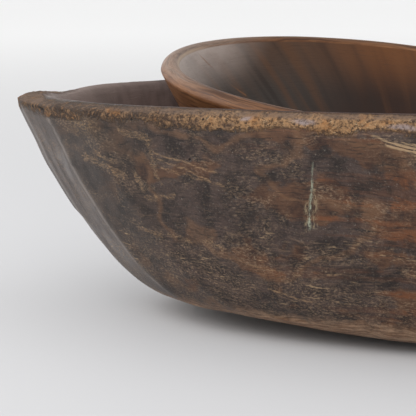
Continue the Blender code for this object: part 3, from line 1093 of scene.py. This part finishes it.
def gouge_streaks(wood):
    """Broad streaks that lean as they run down to the floor."""
    sideways = wood.vector("CROSS_PRODUCT", wood.towards, (0.0, 0.0, 1.0))
    lean = wood.vector("SCALE", sideways, wood.maths("MULTIPLY", wood.z, 4.5))
    leaning = wood.vector("ADD", wood.towards, lean)
    streak_at = wood.vector(
        "ADD", wood.vector("MULTIPLY", leaning, (8.5, 8.5, 0.0)),
        wood.vector("MULTIPLY", wood.at, (4.0, 4.0, 6.0)))
    return wood.noise(1.0, 2.0, 0.45, streak_at, 4.4)


def inner_colour(wood, streaks):
    """Dark and darker lower down as painted shade, greyer towards the left as painted sheen, with soft
    warm streaks, a pale painted sheen high on the left and one split.
    """
    rightwards = wood.ramp(wood.x, -0.095, -0.005)
    # painted shade lower down, and painted sheen in the grey towards the left
    deep_shade = wood.blend(rightwards, DEEP_SHADE_SHEEN_GREY, DEEP_SHADE_WARM)
    shallow = wood.blend(rightwards, SHALLOW_SHEEN_GREY, SHALLOW_WARM)
    colour = wood.blend(wood.ramp(wood.z, -0.003, -0.042), shallow, deep_shade)
    upper = wood.ramp(wood.z, -0.09, -0.045)
    light = wood.product(wood.ramp(streaks, 0.46, 0.68, 0.0, 0.34), upper)
    colour = wood.blend(light, colour, STREAK_LIGHT)
    dark = wood.product(wood.ramp(streaks, 0.5, 0.3, 0.0, 0.45), upper)
    colour = wood.blend(dark, colour, STREAK_DARK)
    colour = wood.blend(wood.ramp(wood.fine, 0.46, 0.32, 0.0, 0.2), colour, INSIDE_LINE)
    # painted sheen: a pale grey patch high on the left inside
    left_sheen = wood.product(
        wood.ramp(wood.x, -0.094, -0.142), wood.ramp(wood.z, -0.04, -0.006),
        wood.ramp(wood.patches, 0.3, 0.6, 0.6, 1.0), 0.9)
    colour = wood.blend(left_sheen, colour, LEFT_PAINTED_SHEEN)
    split = wood.stroke(*SPLIT, wood.wander(30.0, 0.003))
    return wood.blend(wood.product(split, 0.7), colour, SPLIT_TAN)


def worn_brown_wood():
    """The round bowl's material."""
    wood = RoundBowlWood()
    streaks = gouge_streaks(wood)
    outside = lip_colour(wood, outer_colour(wood))
    colour = wood.blend(wood.attribute("inside"), outside, inner_colour(wood, streaks))
    height = wood.total(
        wood.product(wood.lines, 0.6), wood.product(wood.fine, 0.3), wood.product(streaks, 1.2))
    wood.dress(colour, wood.ramp(wood.patches, 0.3, 0.7, 0.38, 0.5), height, 0.0004)
    return wood.material


# ------------------------ pieces

def add_piece(mesh, material, node):
    """Show a carved surface in place of a CAD node."""
    piece = bpy.data.objects.new(mesh.name, mesh)
    bpy.context.scene.collection.objects.link(piece)
    mesh.materials.append(material)
    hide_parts(node)
    return piece


outer = add_piece(outer_bowl_mesh(), weathered_dark_wood(), "outer_bowl")
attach(outer, "outer_bowl_body")
inner = add_piece(inner_bowl_mesh(), worn_brown_wood(), "inner_bowl")
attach(inner, "inner_bowl_body")


# ------------------------ floor, light and camera

def add_floor():
    """A plain pale floor that brightens away from the bowls, a painted falloff of light."""
    bpy.ops.mesh.primitive_plane_add(size=FLOOR_SIZE)
    floor = bpy.context.object
    floor.name = "floor"
    finish = Finish("pale_floor_painted_falloff", 0.7, 0.2)
    away = finish.vector("LENGTH", finish.at)
    # painted light: the floor is darker near the bowls and paler far off
    shade = finish.blend(finish.ramp(away, 0.4, 4.0), FLOOR_NEAR_SHADED, FLOOR_FAR_LIT)
    finish.put(finish.shader.inputs["Base Color"], shade)
    floor.data.materials.append(finish.material)


def add_light(name, place, target, power, size):
    """A soft square light that faces target."""
    lamp = bpy.data.lights.new(name, "AREA")
    lamp.energy = power
    lamp.size = size
    light = bpy.data.objects.new(name, lamp)
    light.location = place
    light.rotation_euler = (Vector(target) - light.location).to_track_quat("-Z", "Y").to_euler()
    bpy.context.scene.collection.objects.link(light)


def add_world():
    """Soft light from all round, brightest from above the front left, with a pale backdrop behind."""
    world = bpy.data.worlds.new("studio")
    world.use_nodes = True
    sky = Nodes(world.node_tree)
    place = sky.nodes.new("ShaderNodeTexCoord").outputs["Generated"]

    def share_towards(direction, low, high):
        towards = tuple(Vector(direction).normalized())
        return sky.ramp(sky.vector("DOT_PRODUCT", place, towards), low, high)

    dome = share_towards(DOME_MIDDLE, -0.5, 0.95)
    low_down = share_towards((0.0, 0.0, -1.0), -0.45, -0.05)
    behind = sky.product(share_towards(BACKDROP_MIDDLE, 0.0, 0.8), low_down)
    strength = sky.maths("MULTIPLY_ADD", dome, DOME_TOP - DOME_LOW, DOME_LOW)
    strength = sky.maths("MULTIPLY_ADD", behind, BACKDROP, strength)
    background = sky.nodes["Background"]
    sky.put(background.inputs["Strength"], strength)
    sky.put(background.inputs["Color"], (1.0, 1.0, 1.0))
    bpy.context.scene.world = world


def add_camera():
    """A long lens, low in front and a little to the right, on the long bowl's near left quarter."""
    low, high = cad_box
    target = Vector((mix(low.x, high.x, CAMERA_AIM_ALONG), low.y, high.z * CAMERA_AIM_UP))
    level = Vector((-math.sin(CAMERA_AZIMUTH), math.cos(CAMERA_AZIMUTH), 0.0))
    right = Vector((math.cos(CAMERA_AZIMUTH), math.sin(CAMERA_AZIMUTH), 0.0))
    ahead = level * math.cos(CAMERA_PITCH) - Vector((0.0, 0.0, math.sin(CAMERA_PITCH)))
    upward = level * math.sin(CAMERA_PITCH) + Vector((0.0, 0.0, math.cos(CAMERA_PITCH)))
    data = bpy.data.cameras.new("camera")
    data.sensor_width = CAMERA_SENSOR
    data.lens = CAMERA_LENS
    camera = bpy.data.objects.new("camera", data)
    bpy.context.scene.collection.objects.link(camera)
    turn = Matrix((right, upward, -ahead)).transposed().to_4x4()
    camera.matrix_world = Matrix.Translation(target - ahead * CAMERA_DISTANCE) @ turn
    bpy.context.scene.camera = camera


add_floor()
for light in LIGHTS:
    add_light(*light)
add_world()
bpy.context.scene.view_settings.view_transform = "Standard"
add_camera()

bpy.context.view_layer.update()
